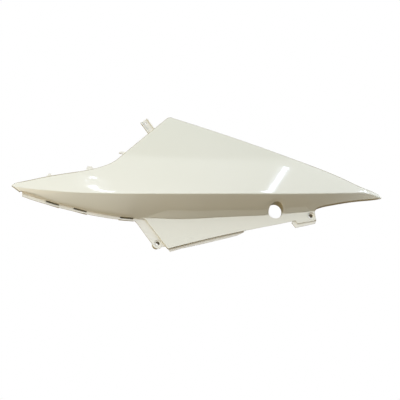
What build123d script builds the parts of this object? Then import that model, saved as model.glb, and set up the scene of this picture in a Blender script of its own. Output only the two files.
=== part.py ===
from build123d import *
import math
import os

os.makedirs("parts", exist_ok=True)

# Frame: X runs from the nose to the tail, -Y is the outer side, Z is up.
# The origin is the seat of the front screw, so every size is measured from it.

# Wall and return edges of the moulding
wall = 2.5
lip_depth = 7.0
flange_wall = 2.5
rib_width = 1.8
rim_radius = 1.5
rounded_above = 96.0

# Plan of the crease: a long even curve, furthest out at widest_x
widest_x = 85.0
crease_out = -38.0
crease_plan_radius = 1300.0
crease_radius = 2.5

# Plan of the line where the undercut meets the skirt
junction_out = -4.0
junction_plan_radius = 7000.0
junction_radius = 3.0

# Upper face: it leans inboard as it rises, more so toward the tail
lean_at_nose = 8.0
lean_at_tail = 13.0
crown_radius = 430.0
face_height = 150.0
skirt_lean = 1.5
skirt_bottom = -45.0
inner_side = 90.0

# Stations along X with the height of the crease and of the junction
stations = [
    (-262.0, 91.5, 82.0), (-224.0, 85.0, 72.0), (-184.0, 80.4, 59.5), (-144.0, 77.0, 49.5),
    (-104.0, 75.7, 42.0), (-64.0, 75.3, 38.5), (-24.0, 75.8, 41.3), (40.0, 77.3, 43.0),
    (110.0, 79.9, 48.4), (180.0, 83.0, 54.0), (240.0, 86.6, 61.0), (290.0, 90.6, 66.0),
    (330.0, 94.4, 71.0), (354.0, 95.6, 74.5), (376.0, 91.2, 73.0), (400.0, 83.0, 65.0),
]

# Lower edge of the nose: height at the stations from the nose back to the skirt
nose_edge = [(-224.0, 80.2), (-184.0, 66.9), (-144.0, 56.6), (-104.0, 48.4), (-64.0, 42.9), (-24.0, 40.6)]


# Side outline, in X and Z
front_top_start = (-60.5, 145.3)
front_top_direction = (0.736, 0.677)
apex = (20.2, 219.8)
apex_radius = 7.0
rear_top_end = (250.0, 142.3)
tail_tip = (382.5, 90.6)
bracket_corner = (268.7, 47.5)
skirt_corner = (16.7, -9.0)
skirt_top = (-20.3, 38.6)
bracket_radius = 2.0
skirt_radius = 1.5

# Open side of the hollow, well below the panel from the bracket round to the nose
hollow_foot = [(272.0, 72.0), (272.0, -40.0), (-60.0, -40.0), (-222.0, 40.0), (-222.0, 84.0)]

# Cuts start in front of the panel and run right through it
in_front = 60.0
through = 100.0

# Rolled edge and flange under the nose: reach inboard, fall and flange height, nose end and skirt end
return_reach = (7.0, 2.5)
return_fall = (2.2, 0.9)
return_flange = (5.0, 3.8)

# Where the rolled edge leaves the wall: inboard of the edge and above it, at its front and at its back
roll_front = (0.7, 0.8)
roll_back = (1.6, 2.4)
roll_height = 2.0

# Flange under the skirt and the two screw points
flange_front = -1.0
foot_radius = 9.0
screw_radius = 3.3
seat_radius = 5.8
sleeve_radius = 6.8
sleeve_end = 18.0
rear_screw = (260.1, 55.4)
seat_reach = 40.0
flange_outline = [
    (-40.5, 38.5), (-34.2, 32.1), (-22.9, 16.9), (-7.8, -2.9), (0.0, -6.0), (13.7, -4.9), (17.4, -8.2),
    (20.8, -13.3), (37.5, -7.9), (80.3, 3.0), (112.6, 11.8), (134.3, 17.9), (145.0, 23.5), (146.0, 29.5),
    (78.8, 12.9), (19.5, -3.5), (-14.0, 40.5), (-40.5, 43.0),
]
bracket_outline = [(227.0, 42.3), (233.7, 34.2), (267.5, 42.6), (268.7, 47.5), (266.5, 52.0), (231.0, 49.0)]

# Step from the skirt back to its flange, cut off flush with the outer skin
step_front = 20.0
step_outline = [
    skirt_top, skirt_corner, (78.8, 8.7), (122.7, 20.1), (148.0, 26.4), (148.0, 30.4), (78.8, 12.9),
    (19.5, -3.5), (-15.0, 41.0),
]
bracket_step = [(233.6, 46.1), (235.9, 41.2), bracket_corner, (267.6, 52.0), (231.0, 49.0)]

# Lock hole with its collar
lock_centre = (198.5, 61.0)
lock_radius = 12.75
collar_wall = 2.5
collar_end = 8.0

# Catches under the nose: place along X and turn of each slot
slots = [(-174.6, -16.0), (-129.0, -13.5), (-52.0, -3.0)]
slot_length = 22.0
slot_height = 2.6
slot_depth = 7.0
slot_wall = 1.5
slot_drop = 0.8
slot_cover = 0.5
slot_front = 4.0

# Hooks on the front top edge: front face and outline
hook_wall = 3.0
hooks = [
    (-2.6, [(-188.5, 102.0), (-182.3, 110.6), (-178.6, 110.6), (-174.5, 105.0), (-174.5, 101.0)]),
    (-11.2, [(-121.5, 115.0), (-119.2, 123.4), (-112.2, 123.4), (-107.5, 118.0), (-107.5, 115.0)]),
    (-10.2, [(-67.0, 147.6), (-66.4, 149.4), (-63.8, 150.8), (-58.0, 150.8), (-50.0, 147.0), (-56.0, 139.0),
             (-60.6, 142.0), (-60.6, 147.2)]),
]

# Tab beside the apex
tab_root = (-11.5, 192.5)
tab_turn = 36.0
tab_width = 13.5
tab_length = 20.5
tab_front = 4.6
tab_wall = 2.4
tab_rim = 1.5
tab_rim_height = 1.8
tab_hole_radius = 1.5
tab_hole_from_tip = 6.0
tab_foot = 8.0

# Ribs behind the upper face: place along X, foot and head
ribs = [
    (-110.0, 80.0, 116.0), (-30.0, 80.0, 172.0), (50.0, 82.0, 206.0), (130.0, 84.0, 178.0), (215.0, 90.0, 150.0),
    (290.0, 94.0, 125.0),
]


def crease_y(x):
    return crease_out + (x - widest_x) ** 2 / (2 * crease_plan_radius)


def junction_y(x):
    return junction_out + (x - widest_x) ** 2 / (2 * junction_plan_radius)


def lean_angle(x):
    share = (x - stations[0][0]) / (stations[-1][0] - stations[0][0])
    return math.radians(lean_at_nose + share * (lean_at_tail - lean_at_nose))


def undercut_angle(x, crease_z, junction_z):
    return math.atan2(junction_y(x) - crease_y(x), crease_z - junction_z)


def face_point(x, crease_z, height, inset):
    # point of the upper face at a height above the crease, set in square to the face
    slope = math.tan(lean_angle(x)) + height / crown_radius
    run = math.tan(lean_angle(x)) * height + height ** 2 / (2 * crown_radius)
    angle = math.atan(slope)
    return (crease_y(x) + run + inset * math.cos(angle), crease_z + height - inset * math.sin(angle))


def corner_point(corner, first, second, inset):
    # corner of two lines set in by the same distance; first and second are their inward normals
    share = inset / (1 + first[0] * second[0] + first[1] * second[1])
    return (corner[0] + share * (first[0] + second[0]), corner[1] + share * (first[1] + second[1]))


def corner_arc(corner, first, second, radius):
    # start, middle and end of the arc that rounds a corner; first and second run away from it
    cosine = first[0] * second[0] + first[1] * second[1]
    half = (math.pi - math.acos(cosine)) / 2
    run = radius * math.tan(half)
    bisector = (first[0] + second[0], first[1] + second[1])
    length = math.hypot(*bisector)
    sink = radius / math.cos(half) - radius
    start = (corner[0] + run * first[0], corner[1] + run * first[1])
    middle = (corner[0] + sink * bisector[0] / length, corner[1] + sink * bisector[1] / length)
    end = (corner[0] + run * second[0], corner[1] + run * second[1])
    return start, middle, end


def skin_body(inset):
    # solid behind the outer skin set in by a distance: upper face, undercut and skirt in one section
    with BuildPart() as body:
        for x, crease_z, junction_z in stations:
            lean = lean_angle(x)
            under = undercut_angle(x, crease_z, junction_z)
            skirt = math.radians(skirt_lean)
            rise = (math.sin(lean), math.cos(lean))
            fall = (math.sin(under), -math.cos(under))
            drop = (-math.sin(skirt), -math.cos(skirt))
            crease = corner_point((crease_y(x), crease_z), (rise[1], -rise[0]), (-fall[1], fall[0]), inset)
            inner_corner = (junction_y(x), junction_z)
            junction = corner_point(inner_corner, (-fall[1], fall[0]), (-drop[1], drop[0]), inset)
            crease_arc = corner_arc(crease, rise, fall, max(crease_radius - inset, 0.3))
            junction_arc = corner_arc(junction, (-fall[0], -fall[1]), drop, junction_radius + inset)
            middle = face_point(x, crease_z, face_height / 2, inset)
            top = face_point(x, crease_z, face_height, inset)
            foot = (junction[0] - math.tan(skirt) * (junction[1] - skirt_bottom), skirt_bottom)
            with BuildSketch(Plane.YZ.offset(x)):
                with BuildLine():
                    ThreePointArc(crease_arc[0], middle, top)
                    Polyline(top, (inner_side, top[1]), (inner_side, skirt_bottom), foot, junction_arc[2])
                    ThreePointArc(junction_arc[2], junction_arc[1], junction_arc[0])
                    Line(junction_arc[0], crease_arc[2])
                    ThreePointArc(crease_arc[2], crease_arc[1], crease_arc[0])
                make_face()
        loft()
    return body.part


def interpolate(x, pairs):
    # value at x on straight lines between (x, value) pairs
    for (x0, v0), (x1, v1) in zip(pairs, pairs[1:]):
        if x <= x1:
            break
    return v0 + (v1 - v0) * (x - x0) / (x1 - x0)


def on_outer_rim(edge):
    # a long edge that runs across the panel, on its outer side
    return edge.length > 4 and edge.center().Y < 20 and abs((edge % 0.5).Y) < 0.5


def set_in(curve, share):
    # point of a side outline curve moved a wall's width into the face, which lies on its right
    point, along = curve @ share, curve % share
    return (point.X + wall * along.Y, point.Y - wall * along.X)


def undercut_y(x, z):
    # outer skin of the undercut at a side position
    crease_z = interpolate(x, [(s[0], s[1]) for s in stations])
    junction_z = interpolate(x, [(s[0], s[2]) for s in stations])
    share = (crease_z - z) / (crease_z - junction_z)
    return crease_y(x) + share * (junction_y(x) - crease_y(x))


def nose_return_line(x):
    # front of the nose flange, height of its joint with the rolled edge, and its foot
    edge_z = interpolate(x, nose_edge)
    share = (x - nose_edge[0][0]) / (nose_edge[-1][0] - nose_edge[0][0])
    reach, fall, height = [a + share * (b - a) for a, b in (return_reach, return_fall, return_flange)]
    step_z = edge_z - fall
    return undercut_y(x, edge_z) + reach, step_z, step_z - height


# Apex of the hollow, where the front and rear top edges meet a wall's width in
front_normal = (front_top_direction[1], -front_top_direction[0])
rear_run = math.dist(apex, rear_top_end)
rear_normal = ((rear_top_end[1] - apex[1]) / rear_run, (apex[0] - rear_top_end[0]) / rear_run)
apex_inner = corner_point(apex, front_normal, rear_normal, wall)

# Solids behind the outer skin, behind the wall, and behind the return edges
outer_body = skin_body(0)
inner_body = skin_body(wall)
rear_body = skin_body(lip_depth)

# Side outline of the outer face: nose, front top edge, apex, rear top edge, tail, skirt
with BuildSketch(Plane.XZ) as outline:
    with BuildLine():
        nose_top = Spline(
            (-241.4, 89.4), (-228.5, 95.3), (-188.3, 104.2), (-144.5, 112.0), (-107.0, 119.5), (-80.0, 129.7),
            front_top_start, tangents=((0.55, 0.83), front_top_direction),
        )
        Polyline(front_top_start, apex, rear_top_end)
        tail_top = Spline(
            rear_top_end, (314.0, 119.4), (350.0, 104.8), (368.0, 99.2), tail_tip,
            tangents=((0.948, -0.318), (0.66, -0.75)),
        )
        tail_under = Spline(
            (tail_tip[0], tail_tip[1] - 1.0), (346.0, 84.0), (292.2, 73.9), (276.0, 69.8), (266.4, 62.5),
            tangents=((-0.97, -0.24), (-0.2, -0.98)),
        )
        Line(tail_tip, tail_under @ 0)
        bracket = Polyline(tail_under @ 1, bracket_corner, (235.9, 41.2), (233.6, 46.1))
        skirt_edge = Spline(bracket @ 1, (177.2, 33.0), (122.7, 20.1), (78.8, 8.7), skirt_corner)
        nose_under = Spline(*reversed(nose_edge), (-226.4, 80.6))
        Polyline(skirt_corner, skirt_top, nose_under @ 0)
        Polyline(nose_under @ 1, (-228.4, 79.6), (-234.5, 84.1), (-241.4, 89.4))
    make_face()
    fillet(outline.vertices().sort_by_distance(apex)[0], apex_radius)
    fillet(outline.vertices().sort_by_distance(bracket_corner)[0], bracket_radius)
    fillet(outline.vertices().sort_by_distance(skirt_corner)[0], skirt_radius)

# Outline of the hollow: a wall's width inside the top and tail edges, open along the skirt and the nose
with BuildSketch(Plane.XZ) as hollow_outline:
    with BuildLine():
        nose_inner = Spline(*[set_in(nose_top, t) for t in (0.1, 0.3, 0.5, 0.7, 0.85, 1.0)])
        Polyline(nose_inner @ 1, apex_inner, set_in(tail_top, 0.0))
        tail_inner = Spline(*[set_in(tail_top, t) for t in (0.0, 0.3, 0.6, 0.9)])
        under_inner = Spline(*[set_in(tail_under, t) for t in (0.1, 0.3, 0.5, 0.7)])
        Line(tail_inner @ 1, under_inner @ 0)
        Polyline(under_inner @ 1, *hollow_foot, nose_inner @ 0)
    make_face()
    fillet(hollow_outline.vertices().sort_by_distance(apex_inner)[0], apex_radius - wall)

# Stiffening ribs behind the upper face, as tall as the return edges
with BuildSketch(Plane.XZ) as rib_lines:
    for rib_x, rib_base, rib_top in ribs:
        with Locations((rib_x, (rib_base + rib_top) / 2)):
            Rectangle(rib_width, rib_top - rib_base)

with BuildPart() as hollow:
    add(inner_body)
    extrude(hollow_outline.sketch, amount=through, both=True, mode=Mode.INTERSECT)
    extrude(rib_lines.sketch, amount=through, both=True, mode=Mode.SUBTRACT)

# Recessed flange under the skirt and down its front edge, with the foot round the front screw
with BuildSketch(Plane.XZ.offset(-flange_front)) as flange_plate:
    with BuildLine():
        Polyline(*flange_outline, close=True)
    make_face()
    Circle(foot_radius)
    with BuildLine():
        Polyline(*bracket_outline, close=True)
    make_face()

# Step between the skirt and its flange
with BuildSketch(Plane.XZ.offset(step_front)) as step_strip:
    with BuildLine():
        Polyline(*step_outline, close=True)
    make_face()
    with BuildLine():
        Polyline(*bracket_step, close=True)
    make_face()

with BuildPart() as step_wall:
    extrude(step_strip.sketch, amount=-(step_front + flange_front + flange_wall))
    add(outer_body, mode=Mode.INTERSECT)

# Rolled edge and recessed flange under the nose
with BuildPart() as nose_return:
    for (x, crease_z, junction_z), (edge_x, edge_z) in zip(stations[1:7], nose_edge):
        front_y, step_z, foot_z = nose_return_line(x)
        edge_y = undercut_y(x, edge_z)
        back_y = front_y + flange_wall
        with BuildSketch(Plane.YZ.offset(x)):
            with BuildLine():
                Polyline(
                    (edge_y + roll_front[0], edge_z + roll_front[1]), (front_y, step_z), (front_y, foot_z),
                    (back_y, foot_z), (back_y, step_z + roll_height),
                    (edge_y + roll_back[0], edge_z + roll_back[1]), close=True,
                )
            make_face()
    loft()

# Collar of the lock hole, cut off flush with the outer skin
with BuildPart() as lock_collar:
    with BuildSketch(Plane.XZ.offset(in_front)):
        with Locations(lock_centre):
            Circle(lock_radius + collar_wall)
    extrude(amount=-(in_front + collar_end))
    add(outer_body, mode=Mode.INTERSECT)

with BuildPart() as side_panel:
    add(outer_body)
    extrude(outline.sketch, amount=through, both=True, mode=Mode.INTERSECT)

    # The outer corner is rounded all along the top edges
    outer_rim = side_panel.edges().filter_by(on_outer_rim)
    fillet(outer_rim.filter_by_position(Axis.Z, rounded_above, apex[1]), rim_radius)

    add(hollow.part, mode=Mode.SUBTRACT)
    add(rear_body, mode=Mode.SUBTRACT)
    add(lock_collar.part)
    extrude(flange_plate.sketch, amount=-flange_wall)
    add(step_wall.part)
    add(nose_return.part)

    # Screw sleeves run inboard from the flange
    with BuildSketch(Plane.XZ.offset(-flange_front)):
        with Locations((0, 0), rear_screw):
            Circle(sleeve_radius)
    extrude(amount=-(sleeve_end - flange_front))

    # Hooks on the front top edge
    for hook_y, hook_points in hooks:
        with BuildSketch(Plane.XZ.offset(-hook_y)):
            with BuildLine():
                Polyline(*hook_points, close=True)
            make_face()
        extrude(amount=-hook_wall)

    # Tab beside the apex: a plate with a rim down each side and a hole near its tip
    with BuildSketch(Plane.XZ.offset(-tab_front)):
        with Locations(Location((tab_root[0], tab_root[1], 0), (0, 0, tab_turn))):
            with Locations((0, (tab_length - tab_foot) / 2)):
                Rectangle(tab_width, tab_length + tab_foot)
    extrude(amount=-tab_wall)
    with BuildSketch(Plane.XZ.offset(-tab_front)):
        with Locations(Location((tab_root[0], tab_root[1], 0), (0, 0, tab_turn))):
            side = (tab_width - tab_rim) / 2
            with Locations((side, tab_length / 2), (-side, tab_length / 2)):
                Rectangle(tab_rim, tab_length)
    extrude(amount=tab_rim_height)
    with BuildSketch(Plane.XZ.offset(-tab_front)):
        with Locations(Location((tab_root[0], tab_root[1], 0), (0, 0, tab_turn))):
            with Locations((0, tab_length - tab_hole_from_tip)):
                Circle(tab_hole_radius)
    extrude(amount=-tab_wall, mode=Mode.SUBTRACT)

    # Blind catches behind the nose flange, open at the front as narrow slots
    for slot_x, slot_turn in slots:
        front_y, step_z, foot_z = nose_return_line(slot_x)
        with BuildSketch(Plane.XZ.offset(-front_y - slot_cover)):
            with Locations((slot_x, step_z - slot_drop)):
                Rectangle(slot_length + 2 * slot_wall, slot_height + 2 * slot_wall, rotation=slot_turn)
        extrude(amount=-(slot_depth + slot_wall))
        with BuildSketch(Plane.XZ.offset(slot_front - front_y)):
            with Locations((slot_x, step_z - slot_drop)):
                Rectangle(slot_length, slot_height, rotation=slot_turn)
        extrude(amount=-(slot_front + slot_depth), mode=Mode.SUBTRACT)

    # Bores and the seats of the screw heads
    with BuildSketch(Plane.XZ.offset(in_front)):
        with Locations(lock_centre):
            Circle(lock_radius)
        with Locations((0, 0), rear_screw):
            Circle(screw_radius)
    extrude(amount=-through, mode=Mode.SUBTRACT)
    with BuildSketch(Plane.XZ):
        with Locations((0, 0), rear_screw):
            Circle(seat_radius)
    extrude(amount=seat_reach, mode=Mode.SUBTRACT)

side_panel.part.label = "side_panel"
export_step(side_panel.part, "parts/side_panel.step")
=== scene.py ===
"""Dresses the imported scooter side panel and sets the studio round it."""

import logging
import math
from dataclasses import dataclass, field
from enum import Enum

import bpy
import numpy as np
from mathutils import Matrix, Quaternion, Vector


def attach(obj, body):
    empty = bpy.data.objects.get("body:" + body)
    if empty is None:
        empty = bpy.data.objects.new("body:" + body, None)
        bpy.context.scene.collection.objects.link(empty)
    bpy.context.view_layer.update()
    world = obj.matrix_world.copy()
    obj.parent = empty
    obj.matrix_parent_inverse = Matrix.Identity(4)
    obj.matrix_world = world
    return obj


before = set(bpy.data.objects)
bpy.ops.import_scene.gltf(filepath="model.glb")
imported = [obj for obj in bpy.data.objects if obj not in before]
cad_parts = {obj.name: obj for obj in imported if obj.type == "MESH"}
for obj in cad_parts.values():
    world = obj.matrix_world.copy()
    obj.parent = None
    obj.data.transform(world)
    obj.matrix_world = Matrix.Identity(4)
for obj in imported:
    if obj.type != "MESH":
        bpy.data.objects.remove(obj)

log = logging.getLogger("scooter_side_panel")
MM = 0.001
PANEL_NODE = "side_panel"

Array = np.ndarray
Point = tuple[float, float]
Tree = bpy.types.NodeTree
Socket = bpy.types.NodeSocket


def linear(hex_colour: str) -> tuple[float, float, float, float]:
    """Turns an sRGB hex colour into a linear colour.

    Args:
        hex_colour: six hex digits, such as "e6e4d6".

    Returns:
        Red, green, blue and an alpha of 1.
    """
    values = [int(hex_colour[i:i + 2], 16) / 255 for i in (0, 2, 4)]
    red, green, blue = [v / 12.92 if v <= 0.04045 else ((v + 0.055) / 1.055) ** 2.4 for v in values]
    return red, green, blue, 1.0


def add_node(tree: Tree, kind: str, settings: dict | None = None, links: dict | None = None,
             **attributes: object) -> bpy.types.Node:
    """Adds one shader node with its settings and links.

    Args:
        tree: the node tree it joins.
        kind: the node's type, such as "ShaderNodeTexNoise".
        settings: values of its input sockets by name or number.
        links: output sockets that feed its inputs by name or number.
        attributes: properties of the node itself.

    Returns:
        The new node.
    """
    node = tree.nodes.new(kind)
    for name, value in attributes.items():
        setattr(node, name, value)
    for socket, value in (settings or {}).items():
        node.inputs[socket].default_value = value
    for socket, source in (links or {}).items():
        tree.links.new(source, node.inputs[socket])
    return node


def add_noise(tree: Tree, place: Socket, size_mm: float, detail: float) -> Socket:
    """Adds noise with features of a real size and gives its factor."""
    return add_node(tree, "ShaderNodeTexNoise", {"Scale": 1000 / size_mm, "Detail": detail},
                    {"Vector": place}).outputs["Fac"]


def add_mix(tree: Tree, share: Socket, first: str | Socket, second: str | Socket) -> Socket:
    """Mixes two colours.

    Args:
        tree: the node tree.
        share: how much of the second colour shows.
        first: the first colour, as hex digits or a socket.
        second: the second colour, the same way.

    Returns:
        The mixed colour.
    """
    ends = {6: first, 7: second}
    settings = {key: linear(end) for key, end in ends.items() if isinstance(end, str)}
    links = {key: end for key, end in ends.items() if key not in settings}
    return add_node(tree, "ShaderNodeMix", settings, {0: share, **links}, data_type="RGBA").outputs[2]


def add_soft_step(tree: Tree, source: Socket, start: float, end: float, low: float = 0.0,
                  high: float = 1.0) -> Socket:
    """Adds a smooth step from low to high, while the source goes from start to end."""
    return add_node(tree, "ShaderNodeMapRange", {1: start, 2: end, 3: low, 4: high}, {0: source},
                    interpolation_type="SMOOTHSTEP").outputs[0]


def add_bump(tree: Tree, height: Socket, depth_mm: float) -> Socket:
    """Adds a bump of a real depth and gives its normal."""
    return add_node(tree, "ShaderNodeBump", {"Strength": 1.0, "Distance": depth_mm * MM},
                    {"Height": height}).outputs["Normal"]


def new_material(name: str) -> bpy.types.Material:
    """Adds a material with an empty node tree.

    Args:
        name: the material's name.

    Returns:
        The material.
    """
    material = bpy.data.materials.new(name)
    material.use_nodes = True
    material.node_tree.nodes.clear()
    return material


def add_object(name: str, data: bpy.types.ID) -> bpy.types.Object:
    """Adds an object to the scene.

    Args:
        name: the object's name.
        data: its mesh, camera or light.

    Returns:
        The linked object.
    """
    item = bpy.data.objects.new(name, data)
    bpy.context.scene.collection.objects.link(item)
    return item


def smooth(share: Array) -> Array:
    """Smooth step 3s² - 2s³ of a share clipped to 0 and 1."""
    share = np.clip(share, 0, 1)
    return share * share * (3 - 2 * share)


def distances(path: Array) -> Array:
    """Distance of each point from the first, along a path of straight steps."""
    return np.concatenate([[0.0], np.cumsum(np.linalg.norm(np.diff(path, axis=0), axis=1))])


def spline(knots: Array, values: Array, at: Array,
           ends: tuple[Array | None, Array | None] = (None, None)) -> Array:
    """Cubic spline through rows of values at knots.

    With h the gap between two knots, the tangents t solve h1 t0 + 2 (h0 + h1) t1 + h0 t2 = 3 (h1 slope0 +
    h0 slope1) at each inner knot, and 2 t0 + t1 = 3 slope0 at an end without a given tangent, where the
    curve doesn't bend. With u the share of the way between two knots, the value is (1 + 2u)(1 - u)² y0 +
    u²(3 - 2u) y1 + u(1 - u) h ((1 - u) t0 - u t1).

    Args:
        knots: increasing places.
        values: one row of values at each knot.
        at: the places to work out.
        ends: tangents at the first and the last knot, or None.

    Returns:
        One row of values at each place.
    """
    gaps = np.diff(knots)
    slopes = np.diff(values, axis=0) / gaps[:, None]
    system, right = np.zeros((len(knots), len(knots))), np.zeros(values.shape)
    inner = np.arange(1, len(knots) - 1)
    system[inner, inner - 1] = gaps[1:]
    system[inner, inner] = 2 * (gaps[:-1] + gaps[1:])
    system[inner, inner + 1] = gaps[:-1]
    right[1:-1] = 3 * (gaps[1:, None] * slopes[:-1] + gaps[:-1, None] * slopes[1:])
    for row, beside, tangent in ((0, 1, ends[0]), (-1, -2, ends[1])):
        free = tangent is None
        system[row, row], system[row, beside] = (2, 1) if free else (1, 0)
        right[row] = 3 * slopes[row] if free else tangent
    tangents = np.linalg.solve(system, right)
    span = np.clip(np.searchsorted(knots, at) - 1, 0, len(knots) - 2)
    h = gaps[span][:, None]
    u = ((at - knots[span]) / gaps[span])[:, None]
    return ((1 + 2 * u) * (1 - u) ** 2 * values[span] + u * (1 - u) ** 2 * h * tangents[span]
            + u * u * (3 - 2 * u) * values[span + 1] - u * u * (1 - u) * h * tangents[span + 1])


def make_piece(name: str, points: Array, faces: Array | list, finish: bpy.types.Material,
               normals: Array | None = None, edge: Array | None = None) -> bpy.types.Object:
    """Puts worked-out points and faces into a smooth mesh object of the panel.

    Args:
        name: the piece's name.
        points: n by 3 array in millimetres.
        faces: point numbers of each face.
        finish: its material.
        normals: exact normals of the points, or None to take them from the faces.
        edge: how far each point lies on an edge, 0 to 1, kept as the attribute of that name.

    Returns:
        The linked object, riding on the root body.
    """
    mesh = bpy.data.meshes.new(name)
    mesh.from_pydata((points * MM).tolist(), [], [list(map(int, f)) for f in faces])
    mesh.polygons.foreach_set("use_smooth", [True] * len(mesh.polygons))
    if normals is not None:
        mesh.normals_split_custom_set_from_vertices(normals.tolist())
    if edge is not None:
        mesh.attributes.new("edge", "FLOAT", "POINT").data.foreach_set("value", edge)
    mesh.materials.append(finish)
    piece = add_object(name, mesh)
    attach(piece, "root")
    return piece


class Band(Enum):
    """Bands of the outer skin from its lower edge up, each with its own number of steps across."""

    SKIRT = 22
    JUNCTION = 7
    UNDERCUT = 24
    CREASE = 10
    FACE = 40


@dataclass(frozen=True)
class OuterSkin:
    """Outer skin of the moulding: y as a function of x and z, in millimetres.

    Each section across is a crowned face that leans inboard, a rounded crease, a straight undercut, a rounded
    inner corner and a nearly upright skirt.
    """

    stations: tuple[tuple[float, float, float], ...] = (
        (-262.0, 91.5, 82.0), (-224.0, 85.0, 72.0), (-184.0, 80.4, 59.5), (-144.0, 77.0, 49.5),
        (-104.0, 75.7, 42.0), (-64.0, 75.3, 38.5), (-24.0, 75.8, 41.3), (40.0, 77.3, 43.0),
        (110.0, 79.9, 48.4), (180.0, 83.0, 54.0), (240.0, 86.6, 61.0), (290.0, 90.6, 66.0),
        (330.0, 94.4, 71.0), (354.0, 95.6, 74.5), (376.0, 91.2, 73.0), (400.0, 83.0, 65.0),
    )
    widest_x: float = 85.0
    crease_out: float = -38.0
    crease_plan_radius: float = 1300.0
    crease_radius: float = 2.5
    junction_out: float = -4.0
    junction_plan_radius: float = 7000.0
    junction_radius: float = 3.0
    lean_at_nose: float = 8.0
    lean_at_tail: float = 13.0
    crown_radius: float = 430.0
    face_height: float = 150.0
    skirt_lean: float = 1.5
    # Half the span of the central differences that give the normal
    slope_step: float = 0.05

    def lines(self, x: Array) -> tuple[Array, Array, Array, Array]:
        """Heights of crease and junction, and how far out each is.

        Args:
            x: places along the panel.

        Returns:
            Crease height, junction height, crease y and junction y. Both plans are parabolas about widest_x.
        """
        table = np.array(self.stations)
        crease_z, junction_z = spline(table[:, 0], table[:, 1:], x).T
        offset = (x - self.widest_x) ** 2
        crease_y = self.crease_out + offset / (2 * self.crease_plan_radius)
        junction_y = self.junction_out + offset / (2 * self.junction_plan_radius)
        return crease_z, junction_z, crease_y, junction_y

    @staticmethod
    def corner(place: tuple[Array, Array], first: tuple[Array, Array], second: tuple[Array, Array],
               radius: float) -> tuple[Array, Array, Array, Array]:
        """Rounds a corner of the section with an arc.

        The arc touches both sides at its radius times the tangent of half the turn from the corner.

        Args:
            place: y and z of the sharp corner.
            first: y and z of the unit direction of one side, away from the corner.
            second: the same for the other side.
            radius: the arc's radius.

        Returns:
            y and z of the arc's centre, and the heights where it leaves the first and the second side.
        """
        half = (math.pi - np.arccos(first[0] * second[0] + first[1] * second[1])) / 2
        run = radius * np.tan(half)
        across, along = first[0] + second[0], first[1] + second[1]
        reach = radius / np.cos(half) / np.hypot(across, along)
        return (place[0] + reach * across, place[1] + reach * along,
                place[1] + run * first[1], place[1] + run * second[1])

    def section(self, x: Array) -> dict[str, Array]:
        """Everything that fixes the section at x.

        Args:
            x: places along the panel.

        Returns:
            Circle of the upper face, centres and ends of both corner arcs, and slopes of undercut and skirt.
        """
        crease_z, junction_z, crease_y, junction_y = self.lines(x)
        first_x, last_x = self.stations[0][0], self.stations[-1][0]
        share = (x - first_x) / (last_x - first_x)
        lean = np.radians(self.lean_at_nose + share * (self.lean_at_tail - self.lean_at_nose))
        under = np.arctan2(junction_y - crease_y, crease_z - junction_z)
        skirt = math.radians(self.skirt_lean)
        rise = (np.sin(lean), np.cos(lean))
        fall = (np.sin(under), -np.cos(under))
        drop = (np.full_like(x, -math.sin(skirt)), np.full_like(x, -math.cos(skirt)))
        crease_cy, crease_cz, crease_top, crease_foot = self.corner(
            (crease_y, crease_z), rise, fall, self.crease_radius)
        junction_cy, junction_cz, junction_top, junction_foot = self.corner(
            (junction_y, junction_z), (-fall[0], -fall[1]), drop, self.junction_radius)

        # The upper face is the circle through its foot and two points of the crowned profile
        heights = (self.face_height / 2, self.face_height)
        (by, bz), (ty, tz) = [
            (crease_y + np.tan(lean) * h + h * h / (2 * self.crown_radius), crease_z + h) for h in heights]
        fz = crease_top
        fy = crease_y + (crease_top - crease_z) * np.tan(lean)
        twice = 2 * (fy * (bz - tz) + by * (tz - fz) + ty * (fz - bz))
        f2, b2, t2 = fy ** 2 + fz ** 2, by ** 2 + bz ** 2, ty ** 2 + tz ** 2
        face_cy = (f2 * (bz - tz) + b2 * (tz - fz) + t2 * (fz - bz)) / twice
        face_cz = (f2 * (ty - by) + b2 * (fy - ty) + t2 * (by - fy)) / twice
        return {
            "crease_z": crease_z, "crease_y": crease_y, "junction_z": junction_z, "junction_y": junction_y,
            "under": np.tan(under), "skirt": np.full_like(x, math.tan(skirt)),
            "face_cy": face_cy, "face_cz": face_cz, "face_r": np.hypot(fy - face_cy, fz - face_cz),
            "crease_cy": crease_cy, "crease_cz": crease_cz,
            "crease_top": crease_top, "crease_foot": crease_foot,
            "junction_cy": junction_cy, "junction_cz": junction_cz,
            "junction_top": junction_top, "junction_foot": junction_foot,
        }

    def depth(self, x: Array, z: Array) -> Array:
        """y of the skin: circle, arc, straight line, arc and straight line, chosen by height.

        Args:
            x: places along the panel.
            z: heights.

        Returns:
            y at those places.
        """
        s = self.section(x)
        face = s["face_cy"] + np.sign(s["crease_y"] - s["face_cy"]) * np.sqrt(
            np.maximum(s["face_r"] ** 2 - (z - s["face_cz"]) ** 2, 0))
        crease = s["crease_cy"] - np.sqrt(np.maximum(self.crease_radius ** 2 - (z - s["crease_cz"]) ** 2, 0))
        undercut = s["crease_y"] + (s["crease_z"] - z) * s["under"]
        junction = s["junction_cy"] + np.sqrt(
            np.maximum(self.junction_radius ** 2 - (z - s["junction_cz"]) ** 2, 0))
        skirt = s["junction_y"] - s["skirt"] * (s["junction_z"] - z)
        return np.select(
            [z >= s["crease_top"], z >= s["crease_foot"], z >= s["junction_top"], z >= s["junction_foot"]],
            [face, crease, undercut, junction], skirt)

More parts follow.
